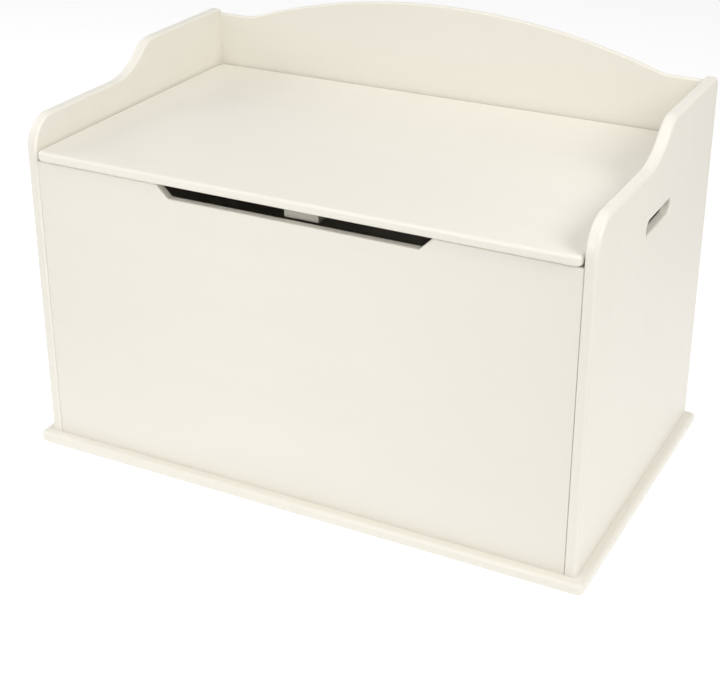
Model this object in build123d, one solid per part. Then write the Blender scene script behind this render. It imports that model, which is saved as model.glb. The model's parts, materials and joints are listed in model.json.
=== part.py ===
from build123d import *
from math import acos, asin, atan2, degrees, hypot, radians, tan
import os

os.makedirs("parts", exist_ok=True)

# Wooden toy box with a hinged seat lid. Millimetres. X runs across the box, +Y to its back,
# +Z up. The origin is on the floor under the middle of the base.

# Boards
case_width = 885.0          # over the outer faces of the side panels
side_depth = 522.0          # side panel, front edge to rear edge
side_t = 18.0
front_t = 15.0
back_t = 9.0
base_t = 18.0
lid_t = 15.0
base_overhang = 15.0        # base beyond the sides and the front
base_corner_r = 10.0
base_edge_r = 6.0
side_outer_edge_r = 6.0
side_inner_edge_r = 4.0
front_set_back = 1.0        # front panel behind the side panels' front edges
front_edge_r = 3.0
front_end_r = 1.0
back_edge_r = 3.0
lid_edge_r = 5.0

# Heights
seat_height = 494.0         # floor to the top of the closed lid
arm_above_seat = 47.0       # level front part of a side panel
post_above_arm = 47.0       # level rear part of a side panel
shoulder_below_post = 8.0   # back panel's level ends
crown_above_shoulder = 61.0

# Outlines
arm_corner_r = 48.0
sweep_start = 204.0         # side panel's front edge to the start of its S curve
sweep_hollow_r = 110.0
sweep_round_r = 53.0
post_corner_r = 12.0
shoulder_width = 47.5       # level end of the back panel, from the side panel to the arch
shoulder_blend_r = 95.0
slot_length = 112.0         # hand slot in a side panel
slot_height = 22.0
slot_below_seat = 39.0
slot_edge_r = 5.0
cut_width = 394.0           # level floor of the finger cut-out in the front panel's top
cut_depth = 19.0
cut_end_angle = 45.0        # ends of the cut-out, from level
cut_corner_r = 5.0

# Lid fit
lid_end_gap = 2.0           # lid's end to a side panel, each end
lid_rear_gap = 2.5
lid_nose = 5.0              # lid's front edge ahead of the side panels
lid_front_gap = 2.0         # lid's underside to the front panel's top edge
lid_corner_r = 10.0

# Block under the lid, behind the finger cut-out
block_width = 55.0
block_depth = 30.0
block_height = 29.5
block_set_back = 37.5       # block's front face behind the side panels' front edges
block_edge_r = 1.5

# Back panel housing
rabbet_width = 10.5         # rabbet in a side panel, across its thickness
rabbet_play = 0.5

# Fits
hole_play = 0.05            # radial, round every fixed fastener
running_play = 0.05         # radial, round every turning pin
end_play = 0.3              # along a turning pin
hole_rest = 0.5             # blind hole beyond the end of its fastener

# Lid pivot
pin_d = 6.0
pin_in_lid = 28.0
pin_in_case = 12.0
bushing_d = 11.0
bushing_depth = 13.0
bushing_flange_d = 14.0
bushing_flange_t = 1.0

# Lid stays
stay_reach = 130.0          # lid pivot to the lid rivet, along the lid
stay_rivet_drop = 10.0      # lid rivet below the lid's underside
stay_case_drop = 124.0      # case rivet below the lid pivot
stay_case_lead = 6.0        # case rivet ahead of the lid pivot
arm_width = 16.0
arm_t = 2.0
plate_t = 2.0               # steel of both brackets
washer_t = 0.8
washer_d = 13.0
rivet_d = 5.0
rivet_head_d = 10.0
rivet_head_h = 1.8
rivet_tail_d = 8.0
rivet_tail_h = 1.5
case_plate_width = 24.0
case_plate_height = 54.0
case_plate_corner_r = 6.0
case_screw_pitch = 38.0
lid_plate_length = 44.0
lid_plate_width = 20.0
lid_plate_corner_r = 5.0
lid_screw_pitch = 28.0
lid_screw_inset = 8.0       # screw centre from the flange's free edge

# Joining hardware
dowel_d = 8.0
dowel_length = 30.0
dowel_in_side = 11.0
dowel_end = 60.0            # outer dowels from the ends of the joint
dowel_count = 3
cam_d = 15.0
cam_h = 12.0
cam_inset = 34.0            # cam centre from the front panel's end
cam_end = 115.0             # cams from the ends of the joint
bolt_d = 5.0
bolt_in_side = 11.0
bolt_head_d = 7.0
bolt_head_h = 3.0
bolt_play = 0.3
base_screw_d = 4.0
base_screw_head_d = 8.0
base_screw_length = 45.0
base_screw_recess = 0.8     # head below the base's underside
base_screw_end = 60.0       # outer base screws from the ends of a board
base_screw_count = 3
back_screw_d = 3.5
back_screw_head_d = 7.0
back_screw_length = 25.0
back_screw_inset = 4.5      # screw centre from the back panel's end
back_screw_end = 60.0       # lowest back screw above the base
back_screw_below = 60.0     # last screw under the lid pivot
back_screw_above = 54.0     # single screw over the lid pivot
back_screw_count = 4        # screws under the lid pivot, each end
small_screw_d = 3.5
small_screw_head_d = 7.0
small_screw_length = 12.0
block_screw_length = 40.0
bumper_d = 9.0
bumper_h = 1.6
bumper_inset = 40.0         # bumper centre from the side panel

# Places worked out from the sizes above
x_out = case_width / 2
x_in = x_out - side_t
base_width = case_width + 2 * base_overhang
base_depth = side_depth + base_overhang
y_rear = base_depth / 2
y_side_front = y_rear - side_depth
y_back_face = y_rear - back_t
y_front_face = y_side_front + front_set_back
y_front_inner = y_front_face + front_t
y_joint = y_front_face + front_t / 2
arm_height = seat_height + arm_above_seat
post_height = arm_height + post_above_arm
shoulder_height = post_height - shoulder_below_post
lid_under_z = seat_height - lid_t
front_top_z = lid_under_z - lid_front_gap
lid_half = x_in - lid_end_gap
lid_front_y = y_side_front - lid_nose
pivot_y = y_back_face - lid_rear_gap - lid_t / 2
pivot_z = seat_height - lid_t / 2
slot_y = y_side_front + side_depth / 2
slot_z = seat_height - slot_below_seat
back_half = x_in + rabbet_width - rabbet_play
block_y = y_side_front + block_set_back + block_depth / 2
lid_rivet = (pivot_y - stay_reach, lid_under_z - stay_rivet_drop)
case_rivet = (pivot_y - stay_case_lead, pivot_z - stay_case_drop)
knee = (lid_rivet[0] + case_rivet[0] - pivot_y, lid_rivet[1] + case_rivet[1] - pivot_z)

# Layers of a stay, as depths from the side panel's inner face into the box
lower_arm_near = plate_t + washer_t + end_play
lower_arm_far = lower_arm_near + arm_t
upper_arm_near = lower_arm_far + washer_t + end_play
upper_arm_far = upper_arm_near + arm_t
web_near = upper_arm_far + washer_t + end_play
web_far = web_near + plate_t
flange_far = web_near + lid_plate_width


# Helpers

def save(node, solids):
    """Write one node: a solid, or a group of separate solids."""
    group = solids if isinstance(solids, list) else [solids]
    shape = group[0] if len(group) == 1 else Compound(children=group)
    export_step(shape, f"parts/{node}.step")


def other_side(solid):
    """The same piece at the left of the box."""
    return mirror(solid, about=Plane.YZ)


def both_sides(solids):
    return solids + [other_side(solid) for solid in solids]


def spread(low, high, count):
    """Even places from low to high."""
    return [low + i * (high - low) / (count - 1) for i in range(count)]


def across(radius, x0, x1, y, z):
    """Round bar along X."""
    return Plane((x0, y, z), z_dir=(1, 0, 0)) * extrude(Circle(radius), x1 - x0)


def upright(radius, z0, z1, x, y):
    """Round bar along Z."""
    return Pos(x, y, z0) * extrude(Circle(radius), z1 - z0)


def disc(diameter, near, far, centre):
    """Round bar along X between two depths of a stay's layers."""
    y, z = centre
    return across(diameter / 2, x_in - far, x_in - near, y, z)


def layer(outline, near, far):
    """Flat piece of a stay between two depths, from its outline in (Y, Z)."""
    plane = Plane((x_in - far, 0, 0), x_dir=(0, 1, 0), z_dir=(1, 0, 0))
    return extrude(plane * outline, far - near)


def block_between(x0, x1, y0, y1, z0, z1):
    return Pos((x0 + x1) / 2, (y0 + y1) / 2, (z0 + z1) / 2) * Box(x1 - x0, y1 - y0, z1 - z0)


def turned(points):
    """Solid of revolution about Z from (radius, height) points."""
    return revolve(Plane.XZ * make_face(Polyline(*points, close=True)), Axis.Z)


def edges_on(solid, place, value):
    """Edges lying in one plane square to X, Y or Z."""
    def lies(edge):
        ends = [getattr(edge @ t, place) for t in (0, 0.37, 1)]
        return all(abs(end - value) < 0.001 for end in ends)
    return [edge for edge in solid.edges() if lies(edge)]


# Screws stand at the origin and point along +Z, with the face of the head at Z = 0.

def flat_head_screw(d, head_d, length):
    head_h = (head_d - d) / 2
    body = turned([(0, 0), (head_d / 2, 0), (d / 2, head_h), (d / 2, length - d), (0, length)])
    size = head_d * 0.55
    recess = Box(size, size * 0.26, head_h * 1.4) + Box(size * 0.26, size, head_h * 1.4)
    return body - recess


def flat_head_hole(d, head_d, length):
    """Hole filled by the screw, open beyond its head."""
    r = d / 2 + hole_play
    head_r = head_d / 2 + hole_play
    end = length + hole_rest
    head_h = (head_d - d) / 2
    return turned([(0, -2), (head_r, -2), (head_r, 0), (r, head_h), (r, end), (0, end)])


def place_all(solid, plane_of, spots):
    return [plane_of(*spot) * solid for spot in spots]


# Where the screws stand

def from_below(x, y, z):
    return Plane((x, y, z), x_dir=(1, 0, 0), z_dir=(0, 0, 1))


def from_behind(x, y, z):
    return Plane((x, y, z), x_dir=(1, 0, 0), z_dir=(0, -1, 0))


def from_inside(x, y, z):
    return Plane((x, y, z), x_dir=(0, 1, 0), z_dir=(1, 0, 0))


def base_screw_spots():
    """Base screws into the right side panel, then into the front panel."""
    x_side = (x_in + x_out) / 2
    side_ys = spread(y_side_front + base_screw_end, y_rear - base_screw_end, base_screw_count)
    front_xs = spread(base_screw_end - x_in, x_in - base_screw_end, base_screw_count)
    side = [(x_side, y, base_screw_recess) for y in side_ys]
    front = [(x, y_joint, base_screw_recess) for x in front_xs]
    return side, front


def back_screw_spots():
    heights = spread(base_t + back_screw_end, pivot_z - back_screw_below, back_screw_count)
    heights.append(pivot_z + back_screw_above)
    return [(back_half - back_screw_inset, y_rear, z) for z in heights]


def case_screw_spots():
    y, z = case_rivet
    return [(x_in - plate_t, y, z + s * case_screw_pitch / 2) for s in (-1, 1)]


def lid_screw_spots():
    x = x_in - flange_far + lid_screw_inset
    return [(x, lid_rivet[0] + s * lid_screw_pitch / 2, lid_under_z - plate_t) for s in (-1, 1)]


def block_screw_spots():
    return [(s * block_width / 4, block_y, lid_under_z - block_height) for s in (-1, 1)]


def dowel_heights():
    return spread(base_t + dowel_end, front_top_z - dowel_end, dowel_count)


def cam_heights():
    return [base_t + cam_end, front_top_z - cam_end]


base_screw = flat_head_screw(base_screw_d, base_screw_head_d, base_screw_length)
base_hole = flat_head_hole(base_screw_d, base_screw_head_d, base_screw_length)
back_screw = flat_head_screw(back_screw_d, back_screw_head_d, back_screw_length)
back_hole = flat_head_hole(back_screw_d, back_screw_head_d, back_screw_length)
small_screw = flat_head_screw(small_screw_d, small_screw_head_d, small_screw_length)
small_hole = flat_head_hole(small_screw_d, small_screw_head_d, small_screw_length)
block_screw = flat_head_screw(small_screw_d, small_screw_head_d, block_screw_length)
block_hole = flat_head_hole(small_screw_d, small_screw_head_d, block_screw_length)


# Case

def base_panel():
    board = Pos(0, 0, base_t / 2) * Box(base_width, base_depth, base_t)
    corners = board.edges().filter_by(Axis.Z).group_by(Axis.Y)[0]
    board = fillet(corners, base_corner_r)
    rims = edges_on(board, "Z", 0) + edges_on(board, "Z", base_t)
    rear = edges_on(board, "Y", y_rear)
    board = fillet([edge for edge in rims if edge not in rear], base_edge_r)
    side, front = base_screw_spots()
    board -= both_sides(place_all(base_hole, from_below, side))
    return board - place_all(base_hole, from_below, front)


def side_outline():
    """Side panel in (Y, Z): rounded arm, S curve up to the post, small rear corner."""
    turn = degrees(acos(1 - post_above_arm / (sweep_hollow_r + sweep_round_r)))
    front = Line((y_side_front, base_t), (y_side_front, arm_height - arm_corner_r))
    corner = JernArc(front @ 1, (0, 1), arm_corner_r, -90)
    arm = Line(corner @ 1, (y_side_front + sweep_start, arm_height))
    hollow = JernArc(arm @ 1, (1, 0), sweep_hollow_r, turn)
    swell = JernArc(hollow @ 1, hollow % 1, sweep_round_r, -turn)
    post = Line(swell @ 1, (y_rear - post_corner_r, post_height))
    ear = JernArc(post @ 1, (1, 0), post_corner_r, -90)
    rear = Line(ear @ 1, (y_rear, base_t))
    foot = Line(rear @ 1, front @ 0)
    return make_face([front, corner, arm, hollow, swell, post, ear, rear, foot])


def cut_hand_slot(board):
    plane = Plane((x_in - 1, slot_y, slot_z), x_dir=(0, 1, 0), z_dir=(1, 0, 0))
    board -= plane * extrude(SlotOverall(slot_length, slot_height), side_t + 2)
    rims = [edge for edge in edges_on(board, "X", x_in) + edges_on(board, "X", x_out)
            if abs(edge.center().Z - slot_z) < slot_height and abs(edge.center().Y - slot_y) < slot_length]
    return fillet(rims, slot_edge_r)


def side_panel():
    """Right side panel."""
    board = extrude(Plane((x_in, 0, 0), x_dir=(0, 1, 0), z_dir=(1, 0, 0)) * side_outline(), side_t)
    foot = edges_on(board, "Z", base_t)
    board = fillet([edge for edge in edges_on(board, "X", x_out) if edge not in foot], side_outer_edge_r)
    foot = edges_on(board, "Z", base_t)
    board = fillet([edge for edge in edges_on(board, "X", x_in) if edge not in foot], side_inner_edge_r)
    board = cut_hand_slot(board)
    rabbet_top = shoulder_height + rabbet_play
    board -= block_between(x_in - 1, x_in + rabbet_width, y_back_face, y_rear + 1, base_t - 1, rabbet_top)
    board -= place_all(base_hole, from_below, base_screw_spots()[0])
    board -= place_all(back_hole, from_behind, back_screw_spots())
    board -= place_all(small_hole, from_inside, case_screw_spots())
    reach = bushing_depth + hole_rest
    board -= across(bushing_d / 2 + hole_play, x_in - 1, x_in + reach, pivot_y, pivot_z)
    dowel_reach = x_in + dowel_in_side + hole_rest
    bolt_reach = x_in + bolt_in_side + hole_rest
    board -= [across(dowel_d / 2 + hole_play, x_in - 1, dowel_reach, y_joint, z) for z in dowel_heights()]
    board -= [across(bolt_d / 2 + hole_play, x_in - 1, bolt_reach, y_joint, z) for z in cam_heights()]
    return board


def front_outline():
    """Front panel in (X, Z), with the finger cut-out in its top edge."""
    floor = cut_width / 2
    lip = floor + cut_depth / tan(radians(cut_end_angle))
    floor_z = front_top_z - cut_depth
    half = [(x_in, base_t), (x_in, front_top_z), (lip, front_top_z), (floor, floor_z)]
    face = make_face(Polyline(*half, *[(-x, z) for x, z in reversed(half)], close=True))
    corners = [v for v in face.vertices() if abs(v.X) < x_in - 1]
    return fillet(corners, cut_corner_r)


def front_joint_holes():
    """Holes for the dowels, cam bolts and cam locks at the right end."""
    dowel_reach = x_in - dowel_length + dowel_in_side - hole_rest
    holes = [across(dowel_d / 2 + hole_play, dowel_reach, x_in + 1, y_joint, z) for z in dowel_heights()]
    holes += [across(bolt_head_d / 2 + bolt_play, x_in - cam_inset, x_in + 1, y_joint, z)
              for z in cam_heights()]
    bore = extrude(Circle(cam_d / 2 + hole_play), cam_h + hole_rest + 1)
    holes += [from_behind(x_in - cam_inset, y_front_inner + 1, z) * bore for z in cam_heights()]
    return holes


def front_panel():
    plane = Plane((0, y_front_inner, 0), x_dir=(1, 0, 0), z_dir=(0, -1, 0))
    board = extrude(plane * front_outline(), front_t)
    rims = [edge for edge in edges_on(board, "Y", y_front_face) + edges_on(board, "Y", y_front_inner)
            if edge.center().Z > front_top_z - cut_depth - 1]
    board = fillet(rims, front_edge_r)
    ends = [edge for edge in edges_on(board, "X", x_in) + edges_on(board, "X", -x_in)
            if edge.center().Z > base_t + 1]
    board = fillet(ends, front_end_r)
    board -= both_sides(front_joint_holes())
    return board - place_all(base_hole, from_below, base_screw_spots()[1])


def back_outline():
    """Back panel in (X, Z): level shoulders blended into a shallow arch."""
    span = x_in - shoulder_width
    rise = crown_above_shoulder
    crown_r = (span ** 2 + rise ** 2) / (2 * rise) - shoulder_blend_r
    turn = degrees(asin(span / (crown_r + shoulder_blend_r)))
    left = Line((-back_half, base_t), (-back_half, shoulder_height))
    near = Line(left @ 1, (-span, shoulder_height))
    rising = JernArc(near @ 1, (1, 0), shoulder_blend_r, turn)
    crown = JernArc(rising @ 1, rising % 1, crown_r, -2 * turn)
    falling = JernArc(crown @ 1, crown % 1, shoulder_blend_r, turn)
    far = Line(falling @ 1, (back_half, shoulder_height))
    right = Line(far @ 1, (back_half, base_t))
    foot = Line(right @ 1, left @ 0)
    return make_face([left, near, rising, crown, falling, far, right, foot])


def back_panel():
    board = extrude(Plane((0, y_rear, 0), x_dir=(1, 0, 0), z_dir=(0, -1, 0)) * back_outline(), back_t)
    rims = [edge for edge in edges_on(board, "Y", y_rear) + edges_on(board, "Y", y_back_face)
            if edge.center().Z > shoulder_height - 1]
    board = fillet(rims, back_edge_r)
    return board - both_sides(place_all(back_hole, from_behind, back_screw_spots()))


def dowel():
    bar = across(dowel_d / 2, x_in + dowel_in_side - dowel_length, x_in + dowel_in_side, 0, 0)
    return chamfer(bar.edges().filter_by(GeomType.CIRCLE), 1)


def cam_bolt():
    head_near = x_in - cam_inset - bolt_head_h / 2
    head = across(bolt_head_d / 2, head_near, head_near + bolt_head_h, 0, 0)
    shank = across(bolt_d / 2, head_near, x_in + bolt_in_side, 0, 0)
    return head + shank


def cam_lock():
    """Cam lock about the point where its bolt's axis crosses it."""
    y = y_front_inner - y_joint
    barrel = from_behind(x_in - cam_inset, y, 0) * extrude(Circle(cam_d / 2), cam_h)
    mouth = across(bolt_head_d / 2 + bolt_play, x_in - cam_inset - bolt_head_h, x_in, 0, 0)
    slot = Pos(x_in - cam_inset, y, 0) * (Box(cam_d * 0.6, 3, 2) + Box(2, 3, cam_d * 0.6))
    return barrel - mouth - slot


def pivot_bushing():
    body = across(bushing_d / 2, x_in, x_in + bushing_depth, pivot_y, pivot_z)
    flange = across(bushing_flange_d / 2, x_in - bushing_flange_t, x_in, pivot_y, pivot_z)
    bore_r = pin_d / 2 + running_play
    return body + flange - across(bore_r, x_in - 2, x_in + pin_in_case + hole_rest, pivot_y, pivot_z)


# Lid

def lid_panel():
    top = Line((lid_front_y, seat_height), (pivot_y, seat_height))
    nose = JernArc(top @ 1, (1, 0), lid_t / 2, -180)
    under = Line(nose @ 1, (lid_front_y, lid_under_z))
    section = make_face([top, nose, under, Line(under @ 1, top @ 0)])
    board = extrude(Plane((-lid_half, 0, 0), x_dir=(0, 1, 0), z_dir=(1, 0, 0)) * section, 2 * lid_half)
    board = fillet(board.edges().filter_by(Axis.Z), lid_corner_r)
    rims = edges_on(board, "Z", seat_height) + edges_on(board, "Z", lid_under_z)
    rims = [edge for edge in rims if edge.center().Y < pivot_y - 1]
    ends = edges_on(board, "X", lid_half) + edges_on(board, "X", -lid_half)
    rims += [edge for edge in ends if edge.geom_type == GeomType.CIRCLE]
    board = fillet(rims, lid_edge_r)
    pin_reach = lid_half - pin_in_lid - hole_rest
    holes = [across(pin_d / 2 + hole_play, pin_reach, lid_half + 1, pivot_y, pivot_z)]
    holes += place_all(small_hole, from_below, lid_screw_spots())
    return board - both_sides(holes) - place_all(block_hole, from_below, block_screw_spots())


def lid_block():
    low = lid_under_z - block_height
    block = block_between(-block_width / 2, block_width / 2, block_y - block_depth / 2,
                          block_y + block_depth / 2, low, lid_under_z)
    rims = [edge for edge in block.edges() if edge.center().Z < lid_under_z - 0.01]
    return fillet(rims, block_edge_r) - place_all(block_hole, from_below, block_screw_spots())


def lid_bumper():
    dot = upright(bumper_d / 2, lid_under_z - bumper_h, lid_under_z, x_in - bumper_inset, y_joint)
    return fillet(edges_on(dot, "Z", lid_under_z - bumper_h), bumper_h / 2)


def pivot_pin():
    pin = across(pin_d / 2, lid_half - pin_in_lid, x_in + pin_in_case, pivot_y, pivot_z)
    return chamfer(pin.edges().filter_by(GeomType.CIRCLE), 0.5)


# Lid stays, right side. Each is a parallel linkage: the lower arm keeps parallel to the lid.

def strap(a, b):
    """Outline in (Y, Z) of a flat arm with round ends about two rivets."""
    run = (b[0] - a[0], b[1] - a[1])
    slot = SlotCenterToCenter(hypot(*run), arm_width, rotation=degrees(atan2(run[1], run[0])))
    return Pos((a[0] + b[0]) / 2, (a[1] + b[1]) / 2) * slot


def hole(centre, play):
    return disc(rivet_d + 2 * play, 0, flange_far, centre)


def lower_arm():
    arm = layer(strap(case_rivet, knee), lower_arm_near, lower_arm_far)
    return arm - hole(case_rivet, running_play) - hole(knee, hole_play)


def upper_arm():
    arm = layer(strap(knee, lid_rivet), upper_arm_near, upper_arm_far)
    return arm - hole(knee, running_play) - hole(lid_rivet, running_play)


def case_bracket():
    outline = Pos(*case_rivet) * RectangleRounded(case_plate_width, case_plate_height, case_plate_corner_r)
    plate = layer(outline, 0, plate_t) - hole(case_rivet, hole_play)
    return plate - place_all(small_hole, from_inside, case_screw_spots())


def lid_bracket():
    """Web beside the upper arm, bent at the top into a flange under the lid."""
    y, z = lid_rivet
    reach = stay_rivet_drop + arm_width / 2
    half = lid_plate_length / 2
    web = block_between(x_in - web_far, x_in - web_near, y - half, y + half, lid_under_z - reach, lid_under_z)
    low = [edge for edge in web.edges().filter_by(Axis.X) if edge.center().Z < z]
    web = fillet(low, arm_width / 2)
    flange = block_between(x_in - flange_far, x_in - web_near, y - half, y + half,
                           lid_under_z - plate_t, lid_under_z)
    free = [edge for edge in flange.edges().filter_by(Axis.Z) if edge.center().X < x_in - web_far]
    flange = fillet(free, lid_plate_corner_r)
    bracket = web + flange
    bend = [edge for edge in edges_on(bracket, "X", x_in - web_near) if edge.center().Z > lid_under_z - 0.01]
    bracket = fillet(bend, plate_t * 0.75)
    return bracket - hole(lid_rivet, hole_play) - place_all(small_hole, from_below, lid_screw_spots())


def washer(near, centre):
    return disc(washer_d, near, near + washer_t, centre) - hole(centre, hole_play)


def case_rivet_piece():
    head = lower_arm_far + end_play
    return disc(rivet_d, 0, head, case_rivet) + disc(rivet_head_d, head, head + rivet_head_h, case_rivet)


def knee_rivet():
    head = upper_arm_far + end_play
    rivet = disc(rivet_d, lower_arm_near, head, knee) + disc(rivet_head_d, head, head + rivet_head_h, knee)
    return rivet + disc(rivet_tail_d, lower_arm_near - rivet_tail_h, lower_arm_near, knee)


def lid_rivet_piece():
    head = upper_arm_near - end_play
    rivet = disc(rivet_d, head, web_far, lid_rivet) + disc(rivet_head_d, head - rivet_head_h, head, lid_rivet)
    return rivet + disc(rivet_tail_d, web_far, web_far + rivet_tail_h, lid_rivet)


# Nodes of the case

side = side_panel()
side_spots, front_spots = base_screw_spots()
base_screws = both_sides(place_all(base_screw, from_below, side_spots))
save("base_panel", base_panel())
save("right_side_panel", side)
save("left_side_panel", other_side(side))
save("front_panel", front_panel())
save("back_panel", back_panel())
save("dowels", both_sides([Pos(0, y_joint, z) * dowel() for z in dowel_heights()]))
save("cam_bolts", both_sides([Pos(0, y_joint, z) * cam_bolt() for z in cam_heights()]))
save("cam_locks", both_sides([Pos(0, y_joint, z) * cam_lock() for z in cam_heights()]))
save("base_screws", base_screws + place_all(base_screw, from_below, front_spots))
save("back_panel_screws", both_sides(place_all(back_screw, from_behind, back_screw_spots())))
save("pivot_bushings", both_sides([pivot_bushing()]))
save("right_stay_case_bracket", case_bracket())
save("left_stay_case_bracket", other_side(case_bracket()))
save("stay_case_screws", both_sides(place_all(small_screw, from_inside, case_screw_spots())))
save("stay_case_rivets", both_sides([case_rivet_piece()]))
save("stay_case_washers", both_sides([washer(plate_t, case_rivet)]))

# Nodes of the lid
save("lid_panel", lid_panel())
save("lid_block", lid_block())
save("lid_block_screws", place_all(block_screw, from_below, block_screw_spots()))
save("lid_bumpers", both_sides([lid_bumper()]))
save("lid_pivot_pins", both_sides([pivot_pin()]))
save("right_stay_lid_bracket", lid_bracket())
save("left_stay_lid_bracket", other_side(lid_bracket()))
save("stay_lid_screws", both_sides(place_all(small_screw, from_below, lid_screw_spots())))
save("stay_lid_rivets", both_sides([lid_rivet_piece()]))
save("stay_lid_washers", both_sides([washer(web_near - washer_t, lid_rivet)]))

# Nodes of the stay arms
arm_nodes = {
    "stay_lower_arm": lower_arm(),
    "stay_knee_rivet": knee_rivet(),
    "stay_knee_washer": washer(lower_arm_far, knee),
    "stay_upper_arm": upper_arm(),
}
for node, solid in arm_nodes.items():
    save(f"right_{node}", solid)
    save(f"left_{node}", other_side(solid))
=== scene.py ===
import json
import math

import bpy
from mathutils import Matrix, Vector
from mathutils.geometry import tessellate_polygon


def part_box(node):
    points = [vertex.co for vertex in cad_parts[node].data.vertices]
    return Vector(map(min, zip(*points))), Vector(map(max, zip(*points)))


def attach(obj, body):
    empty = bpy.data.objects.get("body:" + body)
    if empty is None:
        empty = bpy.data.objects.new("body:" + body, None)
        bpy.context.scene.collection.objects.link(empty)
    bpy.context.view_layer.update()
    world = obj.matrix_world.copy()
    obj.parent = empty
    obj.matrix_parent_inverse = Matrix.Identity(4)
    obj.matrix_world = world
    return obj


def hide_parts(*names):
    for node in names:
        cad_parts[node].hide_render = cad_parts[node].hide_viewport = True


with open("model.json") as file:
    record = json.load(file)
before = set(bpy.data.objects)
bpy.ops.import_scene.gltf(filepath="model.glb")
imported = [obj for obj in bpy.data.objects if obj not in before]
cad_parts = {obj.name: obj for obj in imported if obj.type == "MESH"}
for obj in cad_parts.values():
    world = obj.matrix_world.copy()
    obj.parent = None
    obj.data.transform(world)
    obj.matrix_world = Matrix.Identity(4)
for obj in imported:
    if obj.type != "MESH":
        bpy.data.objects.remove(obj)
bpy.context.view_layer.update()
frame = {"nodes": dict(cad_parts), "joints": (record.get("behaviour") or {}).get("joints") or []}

# ----------------------------------------
# Base panel. A flat 18 mm board that the whole box stands on, sprayed with satin cream paint.
# Its front corners are rounded in plan and a router rounds the front and the two ends, top and
# bottom; the rear edge stays square. Nine countersunk screw holes are drilled from below.
# ----------------------------------------

BASE_EDGE_R = 0.006
BASE_CORNER_R = 0.010
SCREW_SEAT_R = 0.00405
SEAT_EASING = 0.0004
END_SCREW = 0.060
CREAM = (0.808, 0.785, 0.709)
CREAM_SHADE = (0.797, 0.772, 0.695)


def walk_outline(a, b, heading, moves, chord=0.00002):
    """Points and outward normals along an outline walked clockwise.
    A move is a straight length, or a (radius, turn) pair with left turns positive."""
    angle = math.radians(heading)
    walk = [(a, b, -math.sin(angle), math.cos(angle))]
    for move in moves:
        if isinstance(move, tuple):
            radius, turn = move[0], math.radians(move[1])
            side = math.copysign(1, turn)
            centre_a = a - side * radius * math.sin(angle)
            centre_b = b + side * radius * math.cos(angle)
            count = max(2, math.ceil(abs(turn) / (2 * math.acos(1 - chord / radius))))
            for i in range(1, count + 1):
                h = angle + turn * i / count
                walk.append((centre_a + side * radius * math.sin(h), centre_b - side * radius * math.cos(h),
                             -math.sin(h), math.cos(h)))
            angle += turn
        else:
            walk.append((a + move * math.cos(angle), b + move * math.sin(angle),
                         -math.sin(angle), math.cos(angle)))
        a, b = walk[-1][:2]
    return walk


def round_hole(a, b, radius, start=0):
    """Outline of a drilled hole, walked the other way round, so it faces into the hole."""
    bearing = math.radians(start)
    return walk_outline(a + radius * math.sin(bearing), b - radius * math.cos(bearing), start,
                        [(radius, 360)])[:-1]


def edge_section(front_r, back_r, thickness, rabbet, steps):
    """(inset, depth, share of the outward normal, share of the depth axis) over a board's edge."""
    rows = []
    for k in range(steps + 1):
        t = math.pi / 2 * k / steps
        rows.append((front_r * (1 - math.sin(t)), front_r * (1 - math.cos(t)), math.sin(t), -math.cos(t)))
    if rabbet:
        rows.append((0, rabbet, 1, 0))
    for k in range(steps + 1):
        t = math.pi / 2 * k / steps
        rows.append((back_r * (1 - math.cos(t)), thickness - back_r * (1 - math.sin(t)),
                     math.cos(t), math.sin(t)))
    return rows


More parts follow.
